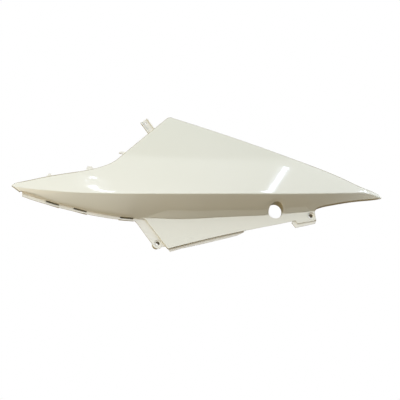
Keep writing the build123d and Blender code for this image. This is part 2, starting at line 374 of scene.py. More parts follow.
    def normal(self, x: Array, z: Array) -> Array:
        """Outward unit normal, (dy/dx, -1, dy/dz) by central differences of the skin.

        Args:
            x: places along the panel.
            z: heights.

        Returns:
            Array with three values a place.
        """
        step = self.slope_step
        along = (self.depth(x + step, z) - self.depth(x - step, z)) / (2 * step)
        up = (self.depth(x, z + step) - self.depth(x, z - step)) / (2 * step)
        vector = np.stack([along, -np.ones_like(along), up], -1)
        return vector / np.linalg.norm(vector, axis=-1, keepdims=True)


@dataclass(frozen=True)
class SideOutline:
    """Side outline in x and z, in millimetres: an upper and a lower run between nose and tail."""

    nose_tip: Point = (-241.4, 89.4)
    nose_top: tuple[Point, ...] = (
        nose_tip, (-228.5, 95.3), (-188.3, 104.2), (-144.5, 112.0), (-107.0, 119.5), (-80.0, 129.7),
        (-60.5, 145.3),
    )
    # Directions at the two ends of the nose's top edge, and how strongly it follows them
    nose_start: Point = (0.55, 0.83)
    front_direction: Point = (0.736, 0.677)
    nose_pulls: Point = (1.0, 1.6)
    apex: Point = (20.2, 219.8)
    apex_radius: float = 7.0
    rear_top_end: Point = (250.0, 142.3)
    tail_top: tuple[Point, ...] = (rear_top_end, (314.0, 119.4), (350.0, 104.8), (368.0, 99.2), (382.5, 90.6))
    tail_start: Point = (0.948, -0.318)
    tail_end: Point = (0.66, -0.75)
    bracket_root: Point = (266.4, 62.5)
    tail_under: tuple[Point, ...] = ((382.5, 89.6), (346.0, 84.0), (292.2, 73.9), (276.0, 69.8), bracket_root)
    under_start: Point = (-0.97, -0.24)
    under_end: Point = (-0.2, -0.98)
    skirt_rear: Point = (233.6, 46.1)
    bracket: tuple[Point, ...] = (bracket_root, (268.7, 47.5), (235.9, 41.2), skirt_rear)
    skirt_edge: tuple[Point, ...] = (skirt_rear, (177.2, 33.0), (122.7, 20.1), (78.8, 8.7), (16.7, -9.0))
    skirt_top: Point = (-20.3, 38.6)
    nose_heel: Point = (-226.4, 80.6)
    nose_under: tuple[Point, ...] = (
        (-24.0, 40.6), (-64.0, 42.9), (-104.0, 48.4), (-144.0, 56.6), (-184.0, 66.9), (-224.0, 80.2),
        nose_heel,
    )
    nose_end: tuple[Point, ...] = (nose_heel, (-228.4, 79.6), (-234.5, 84.1), nose_tip)
    # How many points the nose's curves, the other curves and the apex get
    nose_count: int = 400
    edge_count: int = 300
    apex_count: int = 40

    @staticmethod
    def curve(points: tuple[Point, ...], count: int, start: Point | None = None, end: Point | None = None,
              pulls: Point = (1.0, 1.0)) -> Array:
        """Parametric cubic spline through points, over the length of its chords.

        Args:
            points: the points it goes through.
            count: how many points to return.
            start: direction at the first point, or None for a free end.
            end: direction at the last point, or None for a free end.
            pulls: how strongly the curve follows those two directions.

        Returns:
            count by 2 array.
        """
        shape = np.array(points)
        knots = distances(shape)
        tangents = []
        for order, direction, pull in ((1, start, pulls[0]), (-1, end, pulls[1])):
            if direction is None:
                # A free end has the tangent of the cubic through the four points nearest to it
                places, near = knots[::order][:4], shape[::order][:4]
                tangents.append(np.polyfit(places - places[0], near, 3)[2])
            else:
                tangents.append(np.array(direction) / np.hypot(*direction) * pull)
        return spline(knots, shape, np.linspace(0, knots[-1], count), tuple(tangents))

    def apex_arc(self) -> Array:
        """Arc that rounds the apex between the front and the rear top edge.

        Returns:
            apex_count by 2 array.
        """
        corner = np.array(self.apex)
        first = np.array(self.nose_top[-1]) - corner
        second = np.array(self.rear_top_end) - corner
        first, second = first / np.linalg.norm(first), second / np.linalg.norm(second)
        half = math.acos(float(first @ second)) / 2
        middle = (first + second) / np.linalg.norm(first + second)
        centre = corner + middle * self.apex_radius / math.sin(half)
        side = np.array([middle[1], -middle[0]])
        side = side if side @ first > 0 else -side
        turn = np.linspace(math.pi / 2 - half, half - math.pi / 2, self.apex_count)
        return centre + self.apex_radius * (np.outer(np.sin(turn), side) - np.outer(np.cos(turn), middle))

    def upper_run(self) -> Array:
        """Goes from the nose tip over the apex to the tail tip.

        Returns:
            n by 2 array.
        """
        front = (self.nose_start, self.front_direction, self.nose_pulls)
        return np.concatenate([
            self.curve(self.nose_top, self.nose_count, *front), self.apex_arc(),
            self.curve(self.tail_top, self.edge_count, self.tail_start, self.tail_end),
        ])

    def lower_run(self) -> list[Array]:
        """Goes from the nose tip under the skirt to the tail tip.

        Returns:
            The stretches between its corners, each an n by 2 array.
        """
        nose = np.array(self.nose_end[::-1])
        under = self.curve(self.nose_under, self.nose_count)[::-1]
        front = np.array([self.nose_under[0], self.skirt_top, self.skirt_edge[-1]])
        skirt = self.curve(self.skirt_edge, self.edge_count)[::-1]
        bracket = np.array(self.bracket[::-1])
        tail = self.curve(self.tail_under, self.edge_count, self.under_start, self.under_end)[::-1]
        tip = np.array([self.tail_under[0], self.tail_top[-1]])
        return [nose, under, front, skirt, bracket[0:2], bracket[1:3], bracket[2:4], tail, tip]


@dataclass(frozen=True)
class LacqueredPaint:
    """Solid-colour body paint under clear lacquer, sprayed on moulded ABS.

    The eye gets a warm ivory body colour with almost no grain, and sharp reflections from the lacquer that
    waver slightly where it has dried with the texture of orange peel. Along its edges the colour darkens to a
    narrow warm grey line, which is painted shade.
    """

    name: str = "ivory_lacquered_paint"
    colour: str = "e8e9dd"
    shade: str = "e4e5d6"
    # Painted shade: along the edges the colour darkens to this warm grey tone
    edge_shade_tone: str = "a0946f"
    # Share of the way round an edge where the painted shade starts, and where it is darkest
    edge_from: float = 0.1
    edge_full: float = 0.5
    cloud_mm: float = 120.0
    cloud_detail: float = 2.0
    peel_mm: float = 2.2
    peel_detail: float = 1.0
    peel_height_mm: float = 0.0022
    base_roughness: float = 0.42
    lacquer_roughness: float = 0.045
    ior: float = 1.5
    lacquer_ior: float = 1.6

    def make(self) -> bpy.types.Material:
        """Builds the material.

        Returns:
            The material, on Object coordinates.
        """
        material = new_material(self.name)
        tree = material.node_tree
        place = add_node(tree, "ShaderNodeTexCoord").outputs["Object"]
        # Paint is never quite even: broad clouds between two close tones of ivory
        clouds = add_noise(tree, place, self.cloud_mm, self.cloud_detail)
        tone = add_mix(tree, clouds, self.shade, self.colour)
        # Painted shade: the edge attribute darkens the colour to a warm grey along the edges
        edge = add_node(tree, "ShaderNodeAttribute", attribute_name="edge").outputs["Fac"]
        edge_shade_share = add_soft_step(tree, edge, self.edge_from, self.edge_full)
        tone = add_mix(tree, edge_shade_share, tone, self.edge_shade_tone)
        peel = add_noise(tree, place, self.peel_mm, self.peel_detail)
        ripple = add_bump(tree, peel, self.peel_height_mm)
        shader = add_node(tree, "ShaderNodeBsdfPrincipled", {
            "Roughness": self.base_roughness, "IOR": self.ior, "Coat Weight": 1.0,
            "Coat Roughness": self.lacquer_roughness, "Coat IOR": self.lacquer_ior,
        }, {"Base Color": tone, "Coat Normal": ripple})
        add_node(tree, "ShaderNodeOutputMaterial", {}, {"Surface": shader.outputs["BSDF"]})
        return material


@dataclass(frozen=True)
class MouldedPlastic:
    """Injection-moulded ABS: the paint's ivory on what faces outwards, a darker olive grey on what turns
    away.

    The eye gets the paint's ivory without its gloss on flanges, tab and catches, with the mould's fine grain.
    The olive grey is partly the unpainted ABS of the back, which the spray gun didn't reach, and partly
    painted shade, which darkens bores, slots and downward steps.
    """

    name: str = "ivory_moulded_abs"
    colour: str = "f5f6ee"
    shade: str = "eff0e6"
    # Unpainted ABS on the back and painted shade in bores, slots and under steps, in one colour
    raw_and_shade: str = "a9a17d"
    outwards: tuple[float, float, float] = (0.0, -1.0, 0.0)
    # How far the normal points that way where the ivory starts to cover the darker tone, and where it covers
    # fully
    ivory_from: float = 0.1
    ivory_full: float = 0.55
    cloud_mm: float = 45.0
    cloud_detail: float = 3.0
    # The true grain is near 0.2 mm, drawn coarser so that it shows from a step away
    grain_mm: float = 1.2
    grain_detail: float = 2.0
    grain_height_mm: float = 0.02
    roughness_low: float = 0.34
    roughness_high: float = 0.5
    ior: float = 1.53

    def make(self) -> bpy.types.Material:
        """Builds the material.

        Returns:
            The material, on Object coordinates.
        """
        material = new_material(self.name)
        tree = material.node_tree
        coordinates = add_node(tree, "ShaderNodeTexCoord").outputs
        clouds = add_noise(tree, coordinates["Object"], self.cloud_mm, self.cloud_detail)
        misted = add_mix(tree, clouds, self.shade, self.colour)
        # Faces that turn away from the outside take the darker tone: partly unpainted ABS, partly painted
        # shade
        facing = add_node(tree, "ShaderNodeVectorMath", {1: self.outwards}, {0: coordinates["Normal"]},
                          operation="DOT_PRODUCT").outputs["Value"]
        ivory_share = add_soft_step(tree, facing, self.ivory_from, self.ivory_full)
        tone = add_mix(tree, ivory_share, self.raw_and_shade, misted)
        gloss = add_node(tree, "ShaderNodeMapRange", {3: self.roughness_low, 4: self.roughness_high},
                         {0: clouds}).outputs[0]
        grain = add_noise(tree, coordinates["Object"], self.grain_mm, self.grain_detail)
        shader = add_node(tree, "ShaderNodeBsdfPrincipled", {"IOR": self.ior}, {
            "Base Color": tone, "Roughness": gloss, "Normal": add_bump(tree, grain, self.grain_height_mm),
        })
        add_node(tree, "ShaderNodeOutputMaterial", {}, {"Surface": shader.outputs["BSDF"]})
        return material


@dataclass(frozen=True)
class FloorPaper:
    """Pale background paper: matt, with a faint mottle."""

    name: str = "pale_background_paper"
    colour: str = "f1f1ee"
    shade: str = "ebebe8"
    mottle_mm: float = 300.0
    mottle_detail: float = 2.0
    roughness: float = 0.9

    def make(self) -> bpy.types.Material:
        """Builds the material.

        Returns:
            The material, on Object coordinates.
        """
        material = new_material(self.name)
        tree = material.node_tree
        place = add_node(tree, "ShaderNodeTexCoord").outputs["Object"]
        mottle = add_noise(tree, place, self.mottle_mm, self.mottle_detail)
        tone = add_mix(tree, mottle, self.shade, self.colour)
        shader = add_node(tree, "ShaderNodeBsdfPrincipled", {"Roughness": self.roughness},
                          {"Base Color": tone})
        add_node(tree, "ShaderNodeOutputMaterial", {}, {"Surface": shader.outputs["BSDF"]})
        return material


@dataclass(frozen=True)
class Hole:
    """Round hole through the painted skin, in millimetres."""

    name: str
    centre: Point
    radius: float


@dataclass
class PaintedSkin:
    """Coat of paint and lacquer over the outer skin, wrapped round its edges, in millimetres.

    It also carries the undercut's fine forms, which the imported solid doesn't have.
    """

    skin: OuterSkin = field(default_factory=OuterSkin)
    outline: SideOutline = field(default_factory=SideOutline)
    paint: LacqueredPaint = field(default_factory=LacqueredPaint)
    thickness: float = 0.2
    rim_radius: float = 1.5
    rim_run_in: float = 22.0
    wrap_depth: float = 0.9
    rim_steps: int = 7
    weld_reach: float = 0.001
    column_gap: float = 1.5
    # Share of the column gap within which a point moves on to a hole's circle
    ring_share: float = 0.55
    # Rounds of closing in on where the rim's ball touches the face, and on where a column crosses an arc's
    # end, with the share of the way that this starts from and the least rise of a column
    touch_rounds: int = 3
    crossing_rounds: int = 4
    first_crossing: float = 0.3
    least_rise: float = 1e-6
    # Half the span of the relief's central differences, and the least height that the undercut counts with
    relief_step: float = 0.2
    least_height: float = 1.0
    # The undercut's lower edge rolls under along the nose: two places, its reach up and its height there
    roll_x: Point = (-200.0, -110.0)
    roll_reach: Point = (3.0, 6.5)
    roll_height: Point = (0.5, 1.1)
    roll_span: Point = (-222.0, -30.0)
    roll_fade: float = 25.0
    # The undercut bellies out a little above a narrow facet that stands on the skirt with a low lip
    belly_slope: float = 0.115
    belly_span: Point = (-236.0, 300.0)
    belly_fade: float = 50.0
    facet_slope: float = 0.12
    facet_x: tuple[float, ...] = (-22.0, 14.0, 172.0, 250.0, 260.0)
    facet_height: tuple[float, ...] = (0.0, 10.5, 6.0, 6.5, 0.0)
    relief_clearance: float = 7.0
    # Toward nose and tail the painted shade of the upper edge starts before the rim turns: places, and the
    # share there
    early_x: tuple[float, ...] = (-150.0, -60.0, 150.0, 300.0)
    early_share: tuple[float, ...] = (0.35, 0.0, 0.0, 0.35)
    # Under the tail the lower edge is darkened with painted shade: how far up, and where
    tail_shade_reach: float = 1.7
    tail_shade_span: Point = (262.0, 380.0)
    tail_shade_fade: float = 8.0
    # Places along the upper run, in x, that stand over the corners of the lower run
    pairing: tuple[float, ...] = (-226.0, -25.0, 20.2, 231.5, 237.0, 248.0, 254.5, 381.5)
    holes: tuple[Hole, ...] = (Hole("lock", (198.5, 61.0), 12.75), Hole("rear_screw", (260.1, 55.4), 5.8))

    @staticmethod
    def resample(path: Array, count: int) -> Array:
        """Spaces points evenly along a path of straight steps.

        Args:
            path: n by 2 points.
            count: how many points to return.

        Returns:
            count by 2 array.
        """
        length = distances(path)
        at = np.linspace(0, length[-1], count)
        return np.stack([np.interp(at, length, path[:, 0]), np.interp(at, length, path[:, 1])], -1)

    @staticmethod
    def mitre(path: Array, side: float, ends: Array) -> Array:
        """Outward normals of a path in the side view, lengthened at corners as a mitre is.

        At each inner point it is the sum of the two neighbouring unit normals over one plus their product.

        Args:
            path: n by 2 points.
            side: 1 where outside lies on the left of the path, -1 on the right.
            ends: the normals at the first and the last point.

        Returns:
            n by 2 array.
        """
        steps = np.diff(path, axis=0)
        steps = steps / np.linalg.norm(steps, axis=1, keepdims=True)
        normals = side * np.stack([-steps[:, 1], steps[:, 0]], -1)
        product = np.sum(normals[1:] * normals[:-1], axis=1, keepdims=True)
        inner = (normals[1:] + normals[:-1]) / (1 + product)
        return np.concatenate([ends[:1], inner, ends[1:]])

    def runs(self) -> tuple[Array, Array]:
        """Gives lower and upper outline the same number of points, corner over corner.

        Returns:
            The points of the lower and of the upper outline, each n by 2.
        """
        upper = self.outline.upper_run()
        stretches = self.outline.lower_run()
        cuts = [upper[0, 0], *self.pairing, upper[-1, 0]]
        low, high = [], []
        for stretch, start, end in zip(stretches, cuts[:-1], cuts[1:]):
            inside = upper[(upper[:, 0] > start) & (upper[:, 0] < end)]
            ends = [np.array([x, np.interp(x, upper[:, 0], upper[:, 1])]) for x in (start, end)]
            above = np.concatenate([ends[:1], inside, ends[1:]])
            length = max(distances(stretch)[-1], distances(above)[-1])
            count = max(3, int(length / self.column_gap) + 2)
            low.append(self.resample(stretch, count)[:-1])
            high.append(self.resample(above, count)[:-1])
        low.append(stretches[-1][-1:])
        high.append(upper[-1:])
        return np.concatenate(low), np.concatenate(high)

    def rim(self, edge: Array, mitre: Array, radius: Array) -> tuple[Array, Array, Array]:
        """Rounded rim: a ball of the rim's radius rolls along the edge, touching the face and the wall.

        The ball's centre lies a radius in from the wall and a radius behind the face. The surface is the
        centre plus radius and paint times a direction that turns evenly from the face's normal to the wall's.

        Args:
            edge: n by 2 points of the outline.
            mitre: their outward normals in the side view.
            radius: the ball's radius at each point.

        Returns:
            Points of the rim, rows by n by 3, their normals, and where the ball touches the face, n by 2.
        """
        centre = edge - mitre * radius[:, None]
        touch = centre.copy()
        for _ in range(self.touch_rounds):
            normal = self.skin.normal(touch[:, 0], touch[:, 1])
            touch = centre + normal[:, [0, 2]] * radius[:, None]
        depth = self.skin.depth(touch[:, 0], touch[:, 1]) - normal[:, 1] * radius
        ball = np.stack([centre[:, 0], depth, centre[:, 1]], -1)
        wall = np.stack([mitre[:, 0], np.zeros(len(mitre)), mitre[:, 1]], -1)
        share = np.linspace(0, 1, self.rim_steps)[:, None, None]
        unit = wall / np.linalg.norm(wall, axis=1, keepdims=True)
        angle = np.arccos(np.clip(np.sum(unit * normal, axis=1), -1, 1))[None, :, None]
        turned = (np.sin((1 - share) * angle) * normal + np.sin(share * angle) * unit) / np.sin(angle)
        stretch = 1 + share * (np.linalg.norm(mitre, axis=1)[None, :, None] - 1)
        rows = ball + (radius[None, :, None] + self.thickness) * turned * stretch
        wrapped = rows[-1] + np.array([0, self.wrap_depth, 0])
        return (np.concatenate([rows, wrapped[None]]), np.concatenate([turned, unit[None]]), touch)

    def relief(self, x: Array, z: Array, reach: Array) -> Array:
        """Height of the undercut's fine forms over the plain skin.

        The belly is its slope times the undercut's height times t (1 - t), with t the share of the way up.
        The facet rises evenly from its upper border to a lip over the skirt, which falls off in a smooth
        step. The roll rises from the nose's lower edge like 1 - (1 - s)², s being the share of its reach,
        and fades with 1 - t. All of it sinks to nothing at the holes.

        Args:
            x: places along the panel.
            z: heights.
            reach: distances from the lower edge.

        Returns:
            Heights in millimetres.
        """
        section = self.skin.section(x)
        above = np.minimum(z - section["junction_top"], reach)
        whole = np.maximum(above + section["crease_foot"] - z, self.least_height)
        facet = np.interp(x, self.facet_x, self.facet_height)
        t = np.clip((above - facet) / np.maximum(whole - facet, self.least_height), 0, 1)
        belly_ends = smooth(np.minimum(x - self.belly_span[0], self.belly_span[1] - x) / self.belly_fade)
        belly = self.belly_slope * (whole - facet) * t * (1 - t) * belly_ends
        lip = self.facet_slope * np.clip(facet - np.maximum(above, 0), 0, None)
        lip = lip * smooth(1 + above / (section["junction_top"] - section["junction_foot"]))
        roll_ends = smooth(np.minimum(x - self.roll_span[0], self.roll_span[1] - x) / self.roll_fade)
        rolled = np.clip(above / np.interp(x, self.roll_x, self.roll_reach), 0, 1)
        roll = np.interp(x, self.roll_x, self.roll_height) * (1 - (1 - rolled) ** 2) * (1 - t) * roll_ends
        total = belly + lip + roll
        for hole in self.holes:
            gap = np.hypot(x - hole.centre[0], z - hole.centre[1]) - hole.radius
            total = total * smooth(gap / self.relief_clearance)
        return total

    def raised(self, normals: Array, x: Array, z: Array, reach: Array) -> tuple[Array, Array]:
        """Relief at points of the face, and their normals turned by its slope.

        The turned normal is the plain one less the relief's slope along the skin, as a unit.

        Args:
            normals: n by 3 unit normals of the plain skin.
            x: places along the panel.
            z: heights.
            reach: distances from the lower edge.

        Returns:
            The relief's heights and n by 3 unit normals.
        """
        step = self.relief_step
        rise_x = self.relief(x + step, z, reach) - self.relief(x - step, z, reach)
        rise_z = self.relief(x, z + step, reach + step) - self.relief(x, z - step, reach - step)
        slope_x, slope_z = rise_x / (2 * step), rise_z / (2 * step)
        along_x, along_z = np.array([1.0, 0.0, 0.0]), np.array([0.0, 0.0, 1.0])
        turned = (normals - slope_x[:, None] * (along_x - normals[:, :1] * normals)
                  - slope_z[:, None] * (along_z - normals[:, 2:] * normals))
        return self.relief(x, z, reach), turned / np.linalg.norm(turned, axis=1, keepdims=True)

    def rows_between(self, foot: Array, head: Array) -> Array:
        """Points of the face between the lower and the upper rim, close together at crease and inner corner.

        A column is a straight line in the side view. Its crossings with the ends of both arcs are found by
        going up to the arc's height at the last crossing, a few times over.

        Args:
            foot: where each column starts, n by 2.
            head: where it ends.

        Returns:
            Rows by n by 2 array.
        """
        cuts = [np.zeros(len(foot))]
        rise = np.maximum(head[:, 1] - foot[:, 1], self.least_rise)
        for key in ("junction_foot", "junction_top", "crease_foot", "crease_top"):
            share = np.full(len(foot), self.first_crossing)
            for _ in range(self.crossing_rounds):
                at_x = foot[:, 0] + share * (head[:, 0] - foot[:, 0])
                share = np.clip((self.skin.section(at_x)[key] - foot[:, 1]) / rise, 0, 1)
            cuts.append(np.maximum(share, cuts[-1]))
        cuts.append(np.ones(len(foot)))
        rows = []
        for band, low, high in zip(Band, cuts[:-1], cuts[1:]):
            steps = np.linspace(0, 1, band.value, endpoint=False)[:, None]
            rows.append(low + steps * (high - low))
        share = np.concatenate([*rows, np.ones((1, len(foot)))])[1:-1, :, None]
        return foot + share * (head - foot)

    def build(self) -> bpy.types.Object:
        """Makes the coat as one grid: wrapped edge, lower rim, face, upper rim, wrapped edge.

        Returns:
            The piece, with its holes cut and its normals exact.
        """
        low, high = self.runs()
        ends = np.array([[-1.0, 0.0], [1.0, 0.0]])
        low_normal = self.mitre(low, -1.0, ends)
        high_normal = self.mitre(high, 1.0, ends)
        along = distances(high)
        radius = self.rim_radius * smooth(np.minimum(along, along[-1] - along) / self.rim_run_in)
        low_rim, low_turn, foot = self.rim(low, low_normal, np.zeros(len(low)))
        high_rim, high_turn, head = self.rim(high, high_normal, radius)
        middle = self.rows_between(foot, head)
        flat = middle.reshape(-1, 2)
        plain = self.skin.normal(flat[:, 0], flat[:, 1])
        reach = np.linalg.norm(middle - foot, axis=-1)
        height, normal = self.raised(plain, flat[:, 0], flat[:, 1], reach.ravel())
        middle_points = np.stack([flat[:, 0], self.skin.depth(flat[:, 0], flat[:, 1]), flat[:, 1]], -1)
        middle_points = middle_points + plain * (self.thickness + height)[:, None]
        points = np.concatenate([low_rim[::-1], middle_points.reshape(len(middle), -1, 3), high_rim])
        normals = np.concatenate([low_turn[::-1], normal.reshape(len(middle), -1, 3), high_turn])
        # The edge attribute carries the painted shade: at the lower edge under the tail, and round the upper
        # rim, starting early toward nose and tail
        span = np.minimum(foot[:, 0] - self.tail_shade_span[0], self.tail_shade_span[1] - foot[:, 0]) / self.tail_shade_fade
        turned = np.minimum(np.arange(len(high_rim)) / (self.rim_steps - 1), 1)
        early = np.interp(head[:, 0], self.early_x, self.early_share)
        edge = np.concatenate([
            np.repeat(smooth(span)[None], len(low_rim), axis=0),
            smooth(span) * np.clip(1 - reach / self.tail_shade_reach, 0, 1),
            np.maximum(turned[:, None], early),
        ])
        rows, columns = points.shape[:2]
        number = np.arange(rows * columns).reshape(rows, columns)
        corners = (number[:-1, :-1], number[:-1, 1:], number[1:, 1:], number[1:, :-1])
        quads = np.stack(corners, -1).reshape(-1, 4)
        points, quads, normals, edge = self.weld(
            points.reshape(-1, 3), quads, normals.reshape(-1, 3), edge.ravel())
        points, faces = self.cut_holes(points, quads)
        return make_piece("painted_outer_skin", points, faces, self.paint.make(), normals, edge)

    def weld(self, points: Array, quads: Array, normals: Array,
             edge: Array) -> tuple[Array, Array, Array, Array]:
        """Joins points that fall together, where bands of the grid shrink to nothing at nose and tail.

        Args:
            points: n by 3 array.
            quads: point numbers of the grid's faces.
            normals: n by 3 array.
            edge: n values.

        Returns:
            The points that differ, the faces with the new numbers, the sums of the joined normals as units
            and the means of the joined values.
        """
        cells = np.round(points / self.weld_reach)
        _, first, group = np.unique(cells, axis=0, return_index=True, return_inverse=True)
        group = group.ravel()
        summed = np.zeros((len(first), 3))
        np.add.at(summed, group, normals)
        mean = np.bincount(group, edge) / np.bincount(group)
        return points[first], group[quads], summed / np.linalg.norm(summed, axis=1, keepdims=True), mean

    def cut_holes(self, points: Array, quads: Array) -> tuple[Array, list]:
        """Opens the round holes: points near a circle move on to it, and what lies inside goes.

        Args:
            points: n by 3 array.
            quads: point numbers of the grid's faces.

        Returns:
            The moved points and the faces that are left, with a triangle where one corner of a face went.
        """
        points = points.copy()
        inside = np.zeros(len(points), bool)
        on_ring = np.zeros(len(points), bool)
        for hole in self.holes:
            offset = points[:, [0, 2]] - np.array(hole.centre)
            distance = np.hypot(*offset.T)
            near = np.abs(distance - hole.radius) < self.ring_share * self.column_gap
            inside |= (distance < hole.radius) & ~near
            on_ring |= near
            place = np.array(hole.centre) + offset[near] / distance[near, None] * hole.radius
            points[near, 0], points[near, 2] = place.T
            lift = self.skin.normal(place[:, 0], place[:, 1]) * self.thickness
            points[near, 1] = self.skin.depth(place[:, 0], place[:, 1]) + lift[:, 1]
        gone = inside[quads].sum(1)
        ringed = on_ring[quads].sum(1)
        whole = quads[(gone == 0) & (ringed < 4)]
        cornered = quads[(gone == 1) & (ringed < 3)]
        keep = ~inside[cornered]
        triangles = cornered[keep].reshape(-1, 3)
        # A collapsed corner left by the welding is given twice, and each face names it once
        faces = [list(dict.fromkeys(face)) for face in [*whole.tolist(), *triangles.tolist()]]
        return points, [face for face in faces if len(face) > 2]


@dataclass
class EdgeBead:
    """Fat edge that paint leaves where it runs over the sharp lip of a hole, in millimetres."""

    skin: OuterSkin
    hole: Hole
    spread: float = 0.9
    # Height over the skin where it starts, how far it swells, and how far it has sunk at the lip
    start: float = 0.19
    swell: float = 0.14
    sag: float = 0.25
    # How far it stands in from the bore's wall, and its depths down the bore
    inward: float = 0.12
    depths: tuple[float, ...] = (0.4, 0.9, 1.4)
    steps: int = 12
    around: int = 160

    def build(self, finish: bpy.types.Material) -> bpy.types.Object:
        """Makes the bead: a profile carried round the hole's circle on the skin.

        The profile starts almost flush with the paint outside the hole, swells over the lip like half a wave,
        sags with the fourth power and draws inward with the cube of the way, and runs down into the bore.

        Args:
            finish: the paint's material.

        Returns:
            The piece.
        """
        turn = np.linspace(0, 2 * math.pi, self.around, endpoint=False)
        share = np.linspace(0, 1, self.steps)
        out = np.concatenate([self.spread * (1 - share), np.full(len(self.depths), -self.inward)])
        out[:self.steps] -= self.inward * share ** 3
        over = self.start + self.swell * np.sin(math.pi * share) - self.sag * share ** 4
        lift = np.concatenate([over, -np.array(self.depths)])
        reach = self.hole.radius + out[:, None]
        x = self.hole.centre[0] + reach * np.cos(turn)
        z = self.hole.centre[1] + reach * np.sin(turn)
        y = self.skin.depth(x.ravel(), z.ravel()).reshape(x.shape) - lift[:, None]
        points = np.stack([x, y, z], -1).reshape(-1, 3)
        number = np.arange(len(points)).reshape(x.shape)
        after = np.roll(number, -1, axis=1)
        quads = np.stack([number[:-1], after[:-1], after[1:], number[1:]], -1).reshape(-1, 4)
        return make_piece(f"{self.hole.name}_paint_bead", points, quads, finish)


@dataclass
class Moulding:
    """The moulded panel itself, as packed: flanges, catches, hooks, tab and back stay in view."""

    plastic: MouldedPlastic = field(default_factory=MouldedPlastic)

    def dress(self) -> bpy.types.Object:
        """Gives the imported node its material.

        Returns:
            The node.
        """
        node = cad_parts[PANEL_NODE]
        finish = self.plastic.make()
        node.data.materials.clear()
        node.data.materials.append(finish)
        return node


@dataclass(frozen=True)
class SoftBox:
    """One rectangular light, placed by where it stands as seen from a spot on the panel.

    Angles are in degrees, and width, height and distance in metres.
    """

    name: str
    spot_mm: tuple[float, float, float]
    azimuth: float
    elevation: float
    width: float
    height: float
    roll: float
    radiance: float
    distance: float = 3.0


@dataclass(frozen=True)
class Glow:
    """Round patch of the soft surround, in degrees: brightest in its middle, nothing beyond its spread."""

    azimuth: float
    elevation: float
    spread: float
    strength: float


